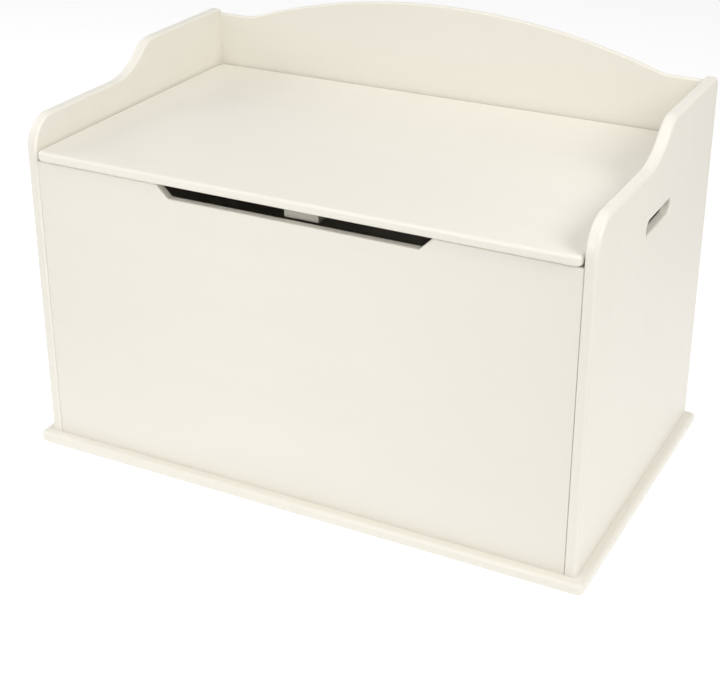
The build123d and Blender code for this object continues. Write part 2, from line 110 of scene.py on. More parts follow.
def cut_board(name, lay, walk, corners, thickness, radii, holes=(), hole_radius=None, rabbet=None, steps=7):
    """A board sawn to an outline and routed round along `walk`, left square past `corners`.
    lay(a, b, depth) places it; corners=None closes the walk on itself; a rabbet is
    (depth, shoulder, top) along the square end of the walk. A radius is one number for both
    faces' edges or a (front, back) pair, and radii may list one for every point."""
    verts, faces, normals, edge = [], [], [], []
    origin = Vector(lay(0, 0, 0))
    axis_a, axis_b, axis_c = (Vector(lay(*way)) - origin for way in ((1, 0, 0), (0, 1, 0), (0, 0, 1)))
    turned = axis_a.cross(axis_b).dot(axis_c) < 0

    def axis(a, b, c):
        return (Vector(lay(a, b, c)) - origin).normalized()

    def point(a, b, c, routed=0.0):
        verts.append(lay(a, b, c))
        edge.append(routed)
        return len(verts) - 1

    def face(points, facing):
        each = facing if isinstance(facing, list) else [facing] * len(points)
        faces.append(points[::-1] if turned else points)
        normals.extend(each[::-1] if turned else each)

    def wall(path, r, closed):
        rings, facings = [], []
        for i, (a, b, na, nb) in enumerate(path):
            radius = r[i] if isinstance(r, list) else r
            pair = radius if isinstance(radius, tuple) else (radius, radius)
            ring, facing = [], []
            for inset, depth, out, along in edge_section(*pair, thickness, rabbet and rabbet[0], steps):
                ring.append(point(a - na * inset, b - nb * inset, depth, min(1.0, out * 1.4)))
                facing.append(axis(na * out, nb * out, along))
            rings.append(ring)
            facings.append(facing)
        for i in range(len(path) if closed else len(path) - 1):
            j = (i + 1) % len(path)
            housed = rabbet and not closed and i >= cut
            for k in range(steps + 1 if housed else 0, len(rings[i]) - 1):
                face([rings[i][k], rings[i][k + 1], rings[j][k + 1], rings[j][k]],
                     [facings[i][k], facings[i][k + 1], facings[j][k + 1], facings[j][k]])
        return rings

    cut = max(i for i, p in enumerate(walk) if abs(p[1] - rabbet[2]) < 1e-6) if rabbet else None
    rings = wall(walk, radii, corners is None)
    loops_front = [[ring[0] for ring in rings]]
    loops_back = [[ring[-1] for ring in rings]]
    if rabbet:
        deep, shoulder, top = rabbet
        row = steps + 1
        foot_b = walk[0][1]
        upper = rings[cut]
        lower = rings[-1]
        s0 = point(shoulder, top, 0)
        s1 = point(shoulder, top, deep)
        f0 = point(shoulder, foot_b, 0)
        f1 = point(shoulder, foot_b, deep)
        face(upper[:row + 1] + [s1, s0], axis(0, -1, 0))
        face([s0, s1, f1, f0], axis(1, 0, 0))
        face([s1] + [ring[row] for ring in rings[cut:]] + [f1], axis(0, 0, -1))
        start = rings[0]
        face([f0, f1] + lower[row:] + start[::-1], axis(0, -1, 0))
        loops_front[0] = [ring[0] for ring in rings[:cut + 1]] + [s0, f0]
    elif corners is not None:
        front = [point(a, b, 0) for a, b in corners]
        back = [point(a, b, thickness) for a, b in corners]
        stops = [(walk[-1][0], walk[-1][1])] + list(corners) + [(walk[0][0], walk[0][1])]
        sides = [rings[-1]] + [[f, k] for f, k in zip(front, back)] + [rings[0]]
        for (a0, b0), (a1, b1), one, two in zip(stops, stops[1:], sides, sides[1:]):
            face(one + two[::-1], axis(b0 - b1, a1 - a0, 0))
        loops_front[0] += front
        loops_back[0] += back
    for hole in holes:
        hole_rings = wall(hole, hole_radius, True)
        loops_front.append([ring[0] for ring in hole_rings])
        loops_back.append([ring[-1] for ring in hole_rings])

    for loops, sign in ((loops_front, -1), (loops_back, 1)):
        arms = [[Vector(verts[i]) - origin for i in loop] for loop in loops]
        flat = [[Vector((arm.dot(axis_a), arm.dot(axis_b), 0)) * 1000 for arm in loop] for loop in arms]
        ids = [i for loop in loops for i in loop]
        spots = [p for loop in flat for p in loop]
        for tri in tessellate_polygon(flat):
            p, q, r = (spots[i] for i in tri)
            area = (q - p).cross(r - p).z
            if abs(area) < 1e-7:
                continue
            order = list(tri) if area * sign > 0 else list(tri)[::-1]
            face([ids[i] for i in order], axis(0, 0, sign))

    mesh = bpy.data.meshes.new(name)
    mesh.from_pydata(verts, [], faces)
    mesh.attributes.new("routed", "FLOAT", "POINT").data.foreach_set("value", edge)
    for polygon in mesh.polygons:
        polygon.use_smooth = True
    mesh.normals_split_custom_set(normals)
    board = bpy.data.objects.new(name, mesh)
    bpy.context.scene.collection.objects.link(board)
    return board


def start_material(name):
    """A new material with its shader and the object's own coordinates."""
    material = bpy.data.materials.new(name)
    material.use_nodes = True
    tree = material.node_tree
    place = tree.nodes.new("ShaderNodeTexCoord").outputs["Object"]
    return material, tree, tree.nodes["Principled BSDF"], place


def stretched(tree, vector, scale):
    mapping = tree.nodes.new("ShaderNodeMapping")
    mapping.inputs["Scale"].default_value = scale
    tree.links.new(vector, mapping.inputs["Vector"])
    return mapping.outputs["Vector"]


def mottle(tree, vector, scale, detail, roughness=0.5):
    """Soft irregular variation, `scale` features to the metre."""
    texture = tree.nodes.new("ShaderNodeTexNoise")
    texture.inputs["Scale"].default_value = scale
    texture.inputs["Detail"].default_value = detail
    texture.inputs["Roughness"].default_value = roughness
    tree.links.new(vector, texture.inputs["Vector"])
    return texture.outputs["Fac"]


def eased(tree, value, low, high, to_low, to_high):
    span = tree.nodes.new("ShaderNodeMapRange")
    for key, number in (("From Min", low), ("From Max", high), ("To Min", to_low), ("To Max", to_high)):
        span.inputs[key].default_value = number
    tree.links.new(value, span.inputs["Value"])
    return span.outputs["Result"]


def blended(tree, factor, one, two):
    mix = tree.nodes.new("ShaderNodeMix")
    mix.data_type = "RGBA"
    tree.links.new(factor, mix.inputs["Factor"])
    for socket, value in ((mix.inputs["A"], one), (mix.inputs["B"], two)):
        if isinstance(value, tuple):
            socket.default_value = (*value, 1)
        else:
            tree.links.new(value, socket)
    return mix.outputs["Result"]


def added(tree, one, two):
    total = tree.nodes.new("ShaderNodeMath")
    tree.links.new(one, total.inputs[0])
    tree.links.new(two, total.inputs[1])
    return total.outputs["Value"]


def bumped(tree, height, strength, depth, under=None):
    bump = tree.nodes.new("ShaderNodeBump")
    bump.inputs["Strength"].default_value = strength
    bump.inputs["Distance"].default_value = depth
    tree.links.new(height, bump.inputs["Height"])
    if under is not None:
        tree.links.new(under, bump.inputs["Normal"])
    return bump.outputs["Normal"]


def coated(tree, shader, colour, roughness, normal):
    for socket, value in (("Base Color", colour), ("Roughness", roughness), ("Normal", normal)):
        tree.links.new(value, shader.inputs[socket])


def cream_paint(name, grain):
    """Satin paint over smooth board: faint spray texture, the board's own long marks just showing
    through along `grain`, and the routed edges painted a little brighter than the faces, a faint painted
    highlight."""
    material, tree, shader, place = start_material(name)
    clouds = mottle(tree, place, 3.2, 3)
    marks = mottle(tree, stretched(tree, place, grain), 1.0, 5, 0.6)
    peel = mottle(tree, place, 420, 2)
    dust = mottle(tree, place, 1500, 1)
    routed = tree.nodes.new("ShaderNodeAttribute")
    routed.attribute_name = "routed"
    faces = blended(tree, eased(tree, clouds, 0.3, 0.7, 0, 1), CREAM, CREAM_SHADE)
    marked = blended(tree, eased(tree, marks, 0.45, 0.8, 0, 0.35), faces,
                     tuple(c * 0.96 for c in CREAM_SHADE))
    # painted highlight: colour turns up to 1.5 % brighter toward the outward-facing middle of each routed
    # edge
    colour = blended(tree, eased(tree, routed.outputs["Fac"], 0, 1, 0, 0.5), marked,
                     tuple(c * 1.03 for c in CREAM))
    rough = added(tree, eased(tree, clouds, 0.25, 0.75, 0.36, 0.43),
                  eased(tree, dust, 0.3, 0.75, -0.02, 0.03))
    normal = bumped(tree, peel, 0.22, 0.0002, bumped(tree, marks, 0.16, 0.0004))
    coated(tree, shader, colour, rough, normal)
    shader.inputs["Coat Weight"].default_value = 0.18
    shader.inputs["Coat Roughness"].default_value = 0.22
    shader.inputs["IOR"].default_value = 1.47
    return material


def painted(board, node, body, material):
    """Finish a board with its paint, in place of its CAD node."""
    board.data.materials.append(material)
    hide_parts(node)
    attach(board, body)


paint_across = cream_paint("cream paint, board laid across", (3, 26, 26))
base_low, base_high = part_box("base_panel")
base_width = base_high.x - base_low.x
base_depth = base_high.y - base_low.y
base_t = base_high.z - base_low.z
base_walk = walk_outline(base_high.x, base_high.y, -90, [
    base_depth - BASE_CORNER_R, (BASE_CORNER_R, -90), base_width - 2 * BASE_CORNER_R,
    (BASE_CORNER_R, -90), base_depth - BASE_CORNER_R])
side_low, side_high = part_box("right_side_panel")
screw_x = (side_low.x + side_high.x) / 2
front_low, front_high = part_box("front_panel")
front_mid_y = (front_low.y + front_high.y) / 2
side_screw_ys = [side_low.y + END_SCREW, (side_low.y + side_high.y) / 2, side_high.y - END_SCREW]
front_screw_xs = [END_SCREW - side_low.x, 0, side_low.x - END_SCREW]
base_screw_spots = [(s * screw_x, y) for s in (-1, 1) for y in side_screw_ys]
base_screw_spots += [(x, front_mid_y) for x in front_screw_xs]
base_holes = [round_hole(x, y, SCREW_SEAT_R, 8 * i) for i, (x, y) in enumerate(base_screw_spots)]
base = cut_board("base_board", lambda a, b, c: (a, b, c), base_walk, (), base_t,
                 BASE_EDGE_R, base_holes, SEAT_EASING)
painted(base, "base_panel", "case", paint_across)

# ----------------------------------------
# Side panels. Two 18 mm boards, mirror images, shaped like a seat's arms: a rounded front corner,
# a level arm rest and an S curve up to the back. Each has a routed hand slot for carrying, and a
# rabbet along its rear inner edge that houses the back panel.
# ----------------------------------------

ARM_TOP = 0.541
ARM_CORNER_R = 0.048
SWEEP_START = 0.204
SWEEP_HOLLOW_R = 0.110
SWEEP_ROUND_R = 0.053
POST_CORNER_R = 0.012
SLOT_LENGTH = 0.112
SLOT_HEIGHT = 0.022
SLOT_Z = 0.455
SLOT_EDGE_R = 0.005
SIDE_OUTER_R = 0.006
SIDE_INNER_R = 0.004
RABBET_ACROSS = 0.0105
RABBET_TOP = 0.5805

side_t = side_high.x - side_low.x
side_depth = side_high.y - side_low.y
sweep_turn = math.degrees(math.acos(1 - (side_high.z - ARM_TOP) / (SWEEP_HOLLOW_R + SWEEP_ROUND_R)))
sweep_run = (SWEEP_HOLLOW_R + SWEEP_ROUND_R) * math.sin(math.radians(sweep_turn))
corner_above_rabbet = math.degrees(math.acos((RABBET_TOP - side_high.z) / POST_CORNER_R + 1))
side_walk = walk_outline(side_low.y, side_low.z, 90, [
    ARM_TOP - ARM_CORNER_R - side_low.z, (ARM_CORNER_R, -90), SWEEP_START - ARM_CORNER_R,
    (SWEEP_HOLLOW_R, sweep_turn), (SWEEP_ROUND_R, -sweep_turn),
    side_depth - SWEEP_START - sweep_run - POST_CORNER_R, (POST_CORNER_R, -corner_above_rabbet),
    (POST_CORNER_R, corner_above_rabbet - 90), side_high.z - POST_CORNER_R - side_low.z])
slot_y = (side_low.y + side_high.y) / 2
slot_run = SLOT_LENGTH - SLOT_HEIGHT
slot_walk = walk_outline(slot_y - slot_run / 2, SLOT_Z - SLOT_HEIGHT / 2, 0,
                         [slot_run, (SLOT_HEIGHT / 2, 180)] * 2)[:-1]
back_low, back_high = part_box("back_panel")
paint_upright = cream_paint("cream paint, board stood up", (26, 26, 3))
for name, sign in (("right", 1), ("left", -1)):
    panel = cut_board(f"{name}_side_board", lambda a, b, c, s=sign: (s * (side_low.x + c), a, b),
                      side_walk, (), side_t, (SIDE_INNER_R, SIDE_OUTER_R), [slot_walk],
                      SLOT_EDGE_R, (RABBET_ACROSS, back_low.y, RABBET_TOP))
    painted(panel, f"{name}_side_panel", "case", paint_upright)

# ----------------------------------------
# Front panel. A 15 mm board held between the sides by dowels and cam bolts, with a long shallow
# cut-out in its top edge, sloped at both ends, so that fingers can reach under the lid. Its top
# edge is routed round; its ends are eased and butt against the side panels.
# ----------------------------------------

CUT_WIDTH = 0.394
CUT_DEPTH = 0.019
CUT_CORNER_R = 0.005
FRONT_EDGE_R = 0.003
FRONT_END_R = 0.001
FRONT_END_EASING = 0.00098
EASING_RUN = 0.006

front_t = front_high.y - front_low.y
corner_run = CUT_CORNER_R * math.tan(math.radians(22.5))
slope = CUT_DEPTH * math.sqrt(2) - 2 * corner_run
lip = CUT_WIDTH / 2 + CUT_DEPTH
shoulder_run = front_high.x - lip - corner_run - FRONT_END_R - EASING_RUN
front_walk = walk_outline(front_low.x, front_low.z, 90, [
    front_high.z - front_low.z - FRONT_END_R, (FRONT_END_R, -90), EASING_RUN / 2, EASING_RUN / 2,
    shoulder_run, (CUT_CORNER_R, -45), slope, (CUT_CORNER_R, 45),
    CUT_WIDTH - 2 * corner_run, (CUT_CORNER_R, 45), slope, (CUT_CORNER_R, -45), shoulder_run,
    EASING_RUN / 2, EASING_RUN / 2, (FRONT_END_R, -90), front_high.z - front_low.z - FRONT_END_R])


def front_edge_radius(x):
    """The top's rounding shrinks to the ends' light easing over the last few millimetres."""
    t = min(1.0, max(0.0, (front_high.x - FRONT_END_R - abs(x)) / EASING_RUN))
    return FRONT_END_EASING + (FRONT_EDGE_R - FRONT_END_EASING) * t


front = cut_board("front_board", lambda a, b, c: (a, front_high.y - c, b), front_walk, (), front_t,
                  [front_edge_radius(a) for a, b, na, nb in front_walk])
painted(front, "front_panel", "case", paint_across)

# ----------------------------------------
# Back panel. A thin board in the side panels' rabbets, screwed from behind. Its top edge rises
# from level shoulders into one shallow arch that stands above the seat, and is rounded over.
# ----------------------------------------

SHOULDER_Z = 0.580
SHOULDER_WIDTH = 0.0475
SHOULDER_BLEND_R = 0.095
CROWN_RISE = 0.061
BACK_EDGE_R = 0.003
BACK_SCREW_HEAD_R = 0.0035
BACK_SCREW_SEAT_R = 0.00355
BACK_SEAT_EASING = 0.0003
SCREW_BELOW_PIVOT = 0.060

back_t = back_high.y - back_low.y
arch_half = side_low.x - SHOULDER_WIDTH
crown_r = (arch_half ** 2 + CROWN_RISE ** 2) / (2 * CROWN_RISE) - SHOULDER_BLEND_R
arch_turn = math.degrees(math.asin(arch_half / (crown_r + SHOULDER_BLEND_R)))
shoulder = back_high.x - arch_half
back_walk = walk_outline(back_low.x, SHOULDER_Z, 0, [
    shoulder, (SHOULDER_BLEND_R, arch_turn), (crown_r, -2 * arch_turn), (SHOULDER_BLEND_R, arch_turn),
    shoulder])
back_screws_low, back_screws_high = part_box("back_panel_screws")
back_screw_x = back_screws_high.x - BACK_SCREW_HEAD_R
pivot_y, pivot_z = frame["joints"][0]["pos_m"][1:]
back_screw_low_z = back_screws_low.z + BACK_SCREW_HEAD_R
back_screw_top_z = back_screws_high.z - BACK_SCREW_HEAD_R
back_screw_step = (pivot_z - SCREW_BELOW_PIVOT - back_screw_low_z) / 3
back_screw_zs = [back_screw_low_z + i * back_screw_step for i in range(4)] + [back_screw_top_z]
back_screw_spots = [(s * back_screw_x, z) for s in (-1, 1) for z in back_screw_zs]
back_holes = [round_hole(x, z, BACK_SCREW_SEAT_R, 3 * i + 2) for i, (x, z) in enumerate(back_screw_spots)]
back = cut_board("back_board", lambda a, b, c: (a, back_high.y - c, b), back_walk,
                 ((back_high.x, back_low.z), (back_low.x, back_low.z)), back_t,
                 BACK_EDGE_R, back_holes, BACK_SEAT_EASING)
painted(back, "back_panel", "case", paint_across)

# ----------------------------------------
# Lid. A 15 mm board that is also the seat. Its front and ends are rounded over, its front corners
# are rounded in plan, and its rear edge is a full half-round about the pivot pins, so it can swing
# up just in front of the back panel.
# ----------------------------------------

LID_EDGE_R = 0.005
LID_CORNER_R = 0.010
LID_REAR_CORNER_R = 0.008
REAR_EASING = 0.00005
GROWTH_START = 0.035
GROWTH_STEP = 0.010
GROWTH_RUN = 0.027

lid_low, lid_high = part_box("lid_panel")
lid_t = lid_high.z - lid_low.z
lid_depth = lid_high.y - lid_low.y
lid_width = lid_high.x - lid_low.x
lid_rear_r = lid_t / 2 - REAR_EASING
lid_end = [lid_depth - LID_CORNER_R - GROWTH_START, GROWTH_STEP, GROWTH_STEP, 0.015 - LID_REAR_CORNER_R]
lid_walk = walk_outline(lid_high.x, lid_low.y + LID_CORNER_R, -90, [
    (LID_CORNER_R, -90), lid_width - 2 * LID_CORNER_R, (LID_CORNER_R, -90), *lid_end,
    (LID_REAR_CORNER_R, -90), lid_width - 2 * LID_REAR_CORNER_R, (LID_REAR_CORNER_R, -90),
    *lid_end[::-1]])[:-1]


def lid_edge_radius(y):
    """The ends' small rounding grows into the rear half-round over the last 35 mm."""
    t = min(1.0, max(0.0, (y - (lid_high.y - GROWTH_START)) / GROWTH_RUN))
    return LID_EDGE_R + (lid_rear_r - LID_EDGE_R) * t * t * (3 - 2 * t)


lid_radii = [lid_edge_radius(b) for a, b, na, nb in lid_walk]
lid = cut_board("lid_board", lambda a, b, c: (a, b, lid_low.z + c), lid_walk, None, lid_t, lid_radii)
painted(lid, "lid_panel", "lid", paint_across)

# ----------------------------------------
# Block under the lid. A short softwood block screwed up into the lid from below, a little behind
# the front panel: it stiffens the lid's front edge where fingers lift it. Painted.
# ----------------------------------------

BLOCK_EDGE_R = 0.0015
block_low, block_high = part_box("lid_block")
block_walk = walk_outline(block_high.x, block_high.z, -90, [
    block_high.z - block_low.z - BLOCK_EDGE_R, (BLOCK_EDGE_R, -90),
    block_high.x - block_low.x - 2 * BLOCK_EDGE_R, (BLOCK_EDGE_R, -90),
    block_high.z - block_low.z - BLOCK_EDGE_R])
block = cut_board("lid_block_wood", lambda a, b, c: (a, block_high.y - c, b), block_walk, (),
                  block_high.y - block_low.y, BLOCK_EDGE_R)
painted(block, "lid_block", "lid", paint_across)

# ----------------------------------------
# Wood screws. Zinc-plated steel, countersunk, with a cross recess, a rolled thread and a sharp
# point: long ones hold the sides and front down to the base, shorter ones the back panel, the
# block and the stays' brackets.
# ----------------------------------------

SCREW_SIDES = 28
ROOT_SHARE = 0.84
THREAD_PITCH = 0.0018
CREST_SHARE = 0.17
HEAD_LAND = 0.08
POINT_R = 0.00008
CROSS_LONG, CROSS_WIDE, CROSS_DEEP = 0.56, 0.13, 1.5
SECOND_SLOT = 0.9
CRISP_ANGLE = math.radians(32)
STEEL = (0.60, 0.60, 0.61)
STEEL_WARM = (0.63, 0.60, 0.53)


def plated_steel(name, brushing):
    """Bright zinc plate over pressed steel: faint draw marks along `brushing` and a warm tint."""
    material, tree, shader, place = start_material(name)
    draw = mottle(tree, stretched(tree, place, brushing), 1.0, 4, 0.65)
    tint = mottle(tree, place, 60, 2)
    colour = blended(tree, eased(tree, tint, 0.4, 0.7, 0, 0.5), STEEL, STEEL_WARM)
    coated(tree, shader, colour, eased(tree, draw, 0.3, 0.7, 0.24, 0.40), bumped(tree, draw, 0.12, 0.0001))
    shader.inputs["Metallic"].default_value = 1.0
    return material


def start_nodes(name, sizes):
    """An empty node tree with a length input for each size, what it is given, and its output node."""
    tree = bpy.data.node_groups.new(name, "GeometryNodeTree")
    tree.interface.new_socket("Geometry", in_out="INPUT", socket_type="NodeSocketGeometry")
    for size in sizes:
        tree.interface.new_socket(size, in_out="INPUT", socket_type="NodeSocketFloat")
    tree.interface.new_socket("Geometry", in_out="OUTPUT", socket_type="NodeSocketGeometry")
    return tree, tree.nodes.new("NodeGroupInput").outputs, tree.nodes.new("NodeGroupOutput")


def fitted(tree, kind, inputs, **settings):
    """Add a node, set it up, and fill its inputs with values or with other nodes' outputs."""
    node = tree.nodes.new(kind)
    for key, value in settings.items():
        setattr(node, key, value)
    for key, value in inputs.items():
        if isinstance(value, bpy.types.NodeSocket):
            tree.links.new(value, node.inputs[key])
        else:
            node.inputs[key].default_value = value
    return node


def sum_of(tree, one, two, operation="ADD"):
    return fitted(tree, "ShaderNodeMath", {0: one, 1: two}, operation=operation).outputs[0]


def scaled(tree, value, share):
    return sum_of(tree, value, share, "MULTIPLY")


def turned_on_lathe(tree, stations, sides):
    """A solid turned about Z through (height, radius) stations."""
    count = len(stations)
    line = fitted(tree, "GeometryNodeCurvePrimitiveLine", {})
    line = fitted(tree, "GeometryNodeResampleCurve", {"Curve": line.outputs["Curve"], "Count": count})
    index = fitted(tree, "GeometryNodeInputIndex", {})
    picks = []
    for column in (0, 1):
        pick = fitted(tree, "GeometryNodeIndexSwitch", {"Index": index.outputs[0]}, data_type="FLOAT")
        while len(pick.index_switch_items) < count:
            pick.index_switch_items.new()
        for i, station in enumerate(stations):
            if isinstance(station[column], bpy.types.NodeSocket):
                tree.links.new(station[column], pick.inputs[i + 1])
            else:
                pick.inputs[i + 1].default_value = station[column]
        picks.append(pick.outputs[0])
    height = fitted(tree, "ShaderNodeCombineXYZ", {"Z": picks[0]})
    line = fitted(tree, "GeometryNodeSetPosition",
                  {"Geometry": line.outputs["Curve"], "Position": height.outputs[0]})
    ring = fitted(tree, "GeometryNodeCurvePrimitiveCircle", {"Resolution": sides, "Radius": 1.0})
    solid = fitted(tree, "GeometryNodeCurveToMesh", {"Curve": line.outputs["Geometry"],
                   "Profile Curve": ring.outputs["Curve"], "Scale": picks[1], "Fill Caps": True})
    return solid.outputs["Mesh"]


def cut_box(tree, solid, sides, height=0.0):
    """Take a box with these three sides, centred `height` up the axis, out of the solid."""
    size = fitted(tree, "ShaderNodeCombineXYZ", dict(zip("XYZ", sides)))
    box = fitted(tree, "GeometryNodeMeshCube", {"Size": size.outputs[0]})
    place = fitted(tree, "ShaderNodeCombineXYZ", {"Z": height})
    box = fitted(tree, "GeometryNodeTransform", {"Geometry": box.outputs["Mesh"],
                 "Translation": place.outputs[0]})
    cut = fitted(tree, "GeometryNodeMeshBoolean", {"Mesh 1": solid}, operation="DIFFERENCE", solver="EXACT")
    tree.links.new(box.outputs["Geometry"], cut.inputs["Mesh 2"])
    return cut.outputs["Mesh"]


def cut_cross(tree, solid, length, width, depth):
    """Sink a driver's cross recess into the solid's flat top."""
    first = cut_box(tree, solid, (length, width, depth))
    return cut_box(tree, first, (width, length, scaled(tree, depth, SECOND_SLOT)))


def set_at_points(tree, given, leave, solid, material):
    """Put the solid on every point of the mesh with Z along `drive`, and make it real."""
    drive = fitted(tree, "GeometryNodeInputNamedAttribute", {"Name": "drive"}, data_type="FLOAT_VECTOR")
    turn = fitted(tree, "FunctionNodeAlignRotationToVector", {"Vector": drive.outputs["Attribute"]}, axis="Z")
    placed = fitted(tree, "GeometryNodeInstanceOnPoints", {"Points": given["Geometry"],
                    "Instance": solid, "Rotation": turn.outputs["Rotation"]})
    real = fitted(tree, "GeometryNodeRealizeInstances", {"Geometry": placed.outputs["Instances"]})
    smooth = fitted(tree, "GeometryNodeSetShadeSmooth", {"Geometry": real.outputs["Geometry"]})
    angle = fitted(tree, "GeometryNodeInputMeshEdgeAngle", {})
    crisp = fitted(tree, "FunctionNodeCompare", {"A": angle.outputs["Unsigned Angle"], "B": CRISP_ANGLE},
                   operation="LESS_THAN")
    edges = fitted(tree, "GeometryNodeSetShadeSmooth", {"Geometry": smooth.outputs["Geometry"],
                   "Shade Smooth": crisp.outputs["Result"]}, domain="EDGE")
    finish = fitted(tree, "GeometryNodeSetMaterial", {"Geometry": edges.outputs["Geometry"],
                    "Material": material})
    tree.links.new(finish.outputs["Geometry"], leave.inputs["Geometry"])


def made_by_nodes(name, spots, tree, sizes):
    """Run the tree on a mesh of (place, drive) points, and keep the plain mesh it makes."""
    mesh = bpy.data.meshes.new(name)
    mesh.from_pydata([place for place, drive in spots], [], [])
    directions = mesh.attributes.new("drive", "FLOAT_VECTOR", "POINT")
    for i, (place, drive) in enumerate(spots):
        directions.data[i].vector = drive
    piece = bpy.data.objects.new(name, mesh)
    bpy.context.scene.collection.objects.link(piece)
    modifier = piece.modifiers.new("made", "NODES")
    modifier.node_group = tree
    sockets = {item.name: item.identifier for item in tree.interface.items_tree if item.in_out == "INPUT"}
    for size, value in sizes.items():
        modifier[sockets[size]] = value
    evaluated = piece.evaluated_get(bpy.context.evaluated_depsgraph_get())
    made = bpy.data.meshes.new_from_object(evaluated)
    piece.modifiers.remove(modifier)
    piece.data = made
    made.name = name
    return piece


def mirrored(x, y, zs, drive):
    """A (place, drive) spot at each height and both sides, the left ones driven the other way."""
    return [((s * x, y, z), (s * drive[0], *drive[1:])) for s in (-1, 1) for z in zs]


def fixed(piece, nodes, body):
    """Put a finished piece in place of its CAD nodes."""
    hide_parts(*nodes)
    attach(piece, body)


screw_steel = plated_steel("zinc plated screws", (900, 900, 900))
screw_tree, given, leave = start_nodes("wood screw", ("Head width", "Shank width", "Length"))
head_r = scaled(screw_tree, given["Head width"], 0.5)
shank_r = scaled(screw_tree, given["Shank width"], 0.5 * ROOT_SHARE)
head_h = sum_of(screw_tree, head_r, shank_r, "SUBTRACT")
tip_z = sum_of(screw_tree, given["Length"], given["Shank width"], "SUBTRACT")
shaft = turned_on_lathe(screw_tree, [(0.0, head_r), (scaled(screw_tree, head_h, HEAD_LAND), head_r),
                                     (head_h, shank_r), (tip_z, shank_r),
                                     (given["Length"], POINT_R)], SCREW_SIDES)
recess_long = scaled(screw_tree, given["Head width"], CROSS_LONG)
recess_wide = scaled(screw_tree, given["Head width"], CROSS_WIDE)
recess_deep = scaled(screw_tree, head_h, CROSS_DEEP)
sunk = cut_cross(screw_tree, shaft, recess_long, recess_wide, recess_deep)
thread_run = sum_of(screw_tree, tip_z, head_h, "SUBTRACT")
thread = fitted(screw_tree, "GeometryNodeCurveSpiral", {
    "Resolution": 16, "Rotations": sum_of(screw_tree, thread_run, THREAD_PITCH, "DIVIDE"),
    "Start Radius": shank_r, "End Radius": shank_r, "Height": thread_run})
crest = fitted(screw_tree, "GeometryNodeCurvePrimitiveCircle", {
    "Resolution": 4, "Radius": scaled(screw_tree, shank_r, CREST_SHARE)})
ridge = fitted(screw_tree, "GeometryNodeCurveToMesh", {"Curve": thread.outputs["Curve"],
               "Profile Curve": crest.outputs["Curve"], "Fill Caps": True})
lift = fitted(screw_tree, "ShaderNodeCombineXYZ", {"Z": head_h})
ridge = fitted(screw_tree, "GeometryNodeTransform", {"Geometry": ridge.outputs["Mesh"],
               "Translation": lift.outputs[0]})
whole = fitted(screw_tree, "GeometryNodeJoinGeometry", {})
screw_tree.links.new(sunk, whole.inputs[0])
screw_tree.links.new(ridge.outputs["Geometry"], whole.inputs[0])
set_at_points(screw_tree, given, leave, whole.outputs[0], screw_steel)

UP, FORWARD = (0, 0, 1), (0, -1, 0)
base_screws_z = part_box("base_screws")[0].z
block_screws_low, block_screws_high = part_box("lid_block_screws")
lid_screws_low, lid_screws_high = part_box("stay_lid_screws")
case_screws_low, case_screws_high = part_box("stay_case_screws")
SMALL_HEAD_R = 0.0035
SMALL_GAUGE = {"Head width": 0.007, "Shank width": 0.0035}
SMALL_SCREW = {**SMALL_GAUGE, "Length": 0.012}
block_screw_y = (block_screws_low.y + block_screws_high.y) / 2
case_screw_y = (case_screws_low.y + case_screws_high.y) / 2
case_screw_x = case_screws_high.x - SMALL_SCREW["Length"]
case_screw_zs = (case_screws_low.z + SMALL_HEAD_R, case_screws_high.z - SMALL_HEAD_R)
screw_jobs = [
    ("base_screw_set", "base_screws", "case", {"Head width": 0.008, "Shank width": 0.004, "Length": 0.045},
     [((x, y, base_screws_z), UP) for x, y in base_screw_spots]),
    ("back_screw_set", "back_panel_screws", "case", {**SMALL_GAUGE, "Length": 0.025},
     [((x, back_screws_high.y, z), FORWARD) for x, z in back_screw_spots]),
    ("case_bracket_screw_set", "stay_case_screws", "case", SMALL_SCREW,
     mirrored(case_screw_x, case_screw_y, case_screw_zs, (1, 0, 0))),
    ("lid_bracket_screw_set", "stay_lid_screws", "lid", SMALL_SCREW,
     [((s * (lid_screws_high.x - SMALL_HEAD_R), y, lid_screws_low.z), UP) for s in (-1, 1)
      for y in (lid_screws_low.y + SMALL_HEAD_R, lid_screws_high.y - SMALL_HEAD_R)]),
    ("block_screw_set", "lid_block_screws", "lid",
     {**SMALL_GAUGE, "Length": block_screws_high.z - block_screws_low.z},
     mirrored(block_screws_high.x - SMALL_HEAD_R, block_screw_y, [block_screws_low.z], UP)),
]
for name, node, body, sizes, spots in screw_jobs:
    fixed(made_by_nodes(name, spots, screw_tree, sizes), [node], body)

# ----------------------------------------
# Knock-down joints between the front panel and the sides. Fluted beech dowels line the boards up;
# steel bolts screwed into the sides are drawn tight by die-cast cam locks let into the front
# panel's inner face, each turned with a cross-head driver.
# ----------------------------------------

DOWEL_SIDES = 64
DOWEL_FLUTES = 16
FLUTE_DEPTH = 0.00025
DOWEL_R = 0.004
BOLT = {"Head width": 0.007, "Head height": 0.003, "Neck width": 0.0035, "Shank width": 0.005}
BOLT_SETBACK = 0.0015
NECK_END = 2.4
CAM_R = 0.0075
CAM_EASING = 0.0004
CAM_SIDES = 48
CAM_CROSS_LONG, CAM_CROSS_WIDE, CAM_CROSS_DEEP = 0.55, 0.13, 0.005
BOLT_ROOM, ROOM_CENTRE = 0.0076, 0.625
BEECH = (0.60, 0.42, 0.25)
BEECH_DARK = (0.50, 0.33, 0.18)
DIE_CAST = (0.50, 0.50, 0.52)

beech, tree, shader, place = start_material("bare beech")
rays = mottle(tree, stretched(tree, place, (40, 900, 900)), 1.0, 3)
grain = blended(tree, eased(tree, rays, 0.35, 0.7, 0, 1), BEECH, BEECH_DARK)
coated(tree, shader, grain, eased(tree, rays, 0.3, 0.7, 0.55, 0.7), bumped(tree, rays, 0.3, 0.0002))

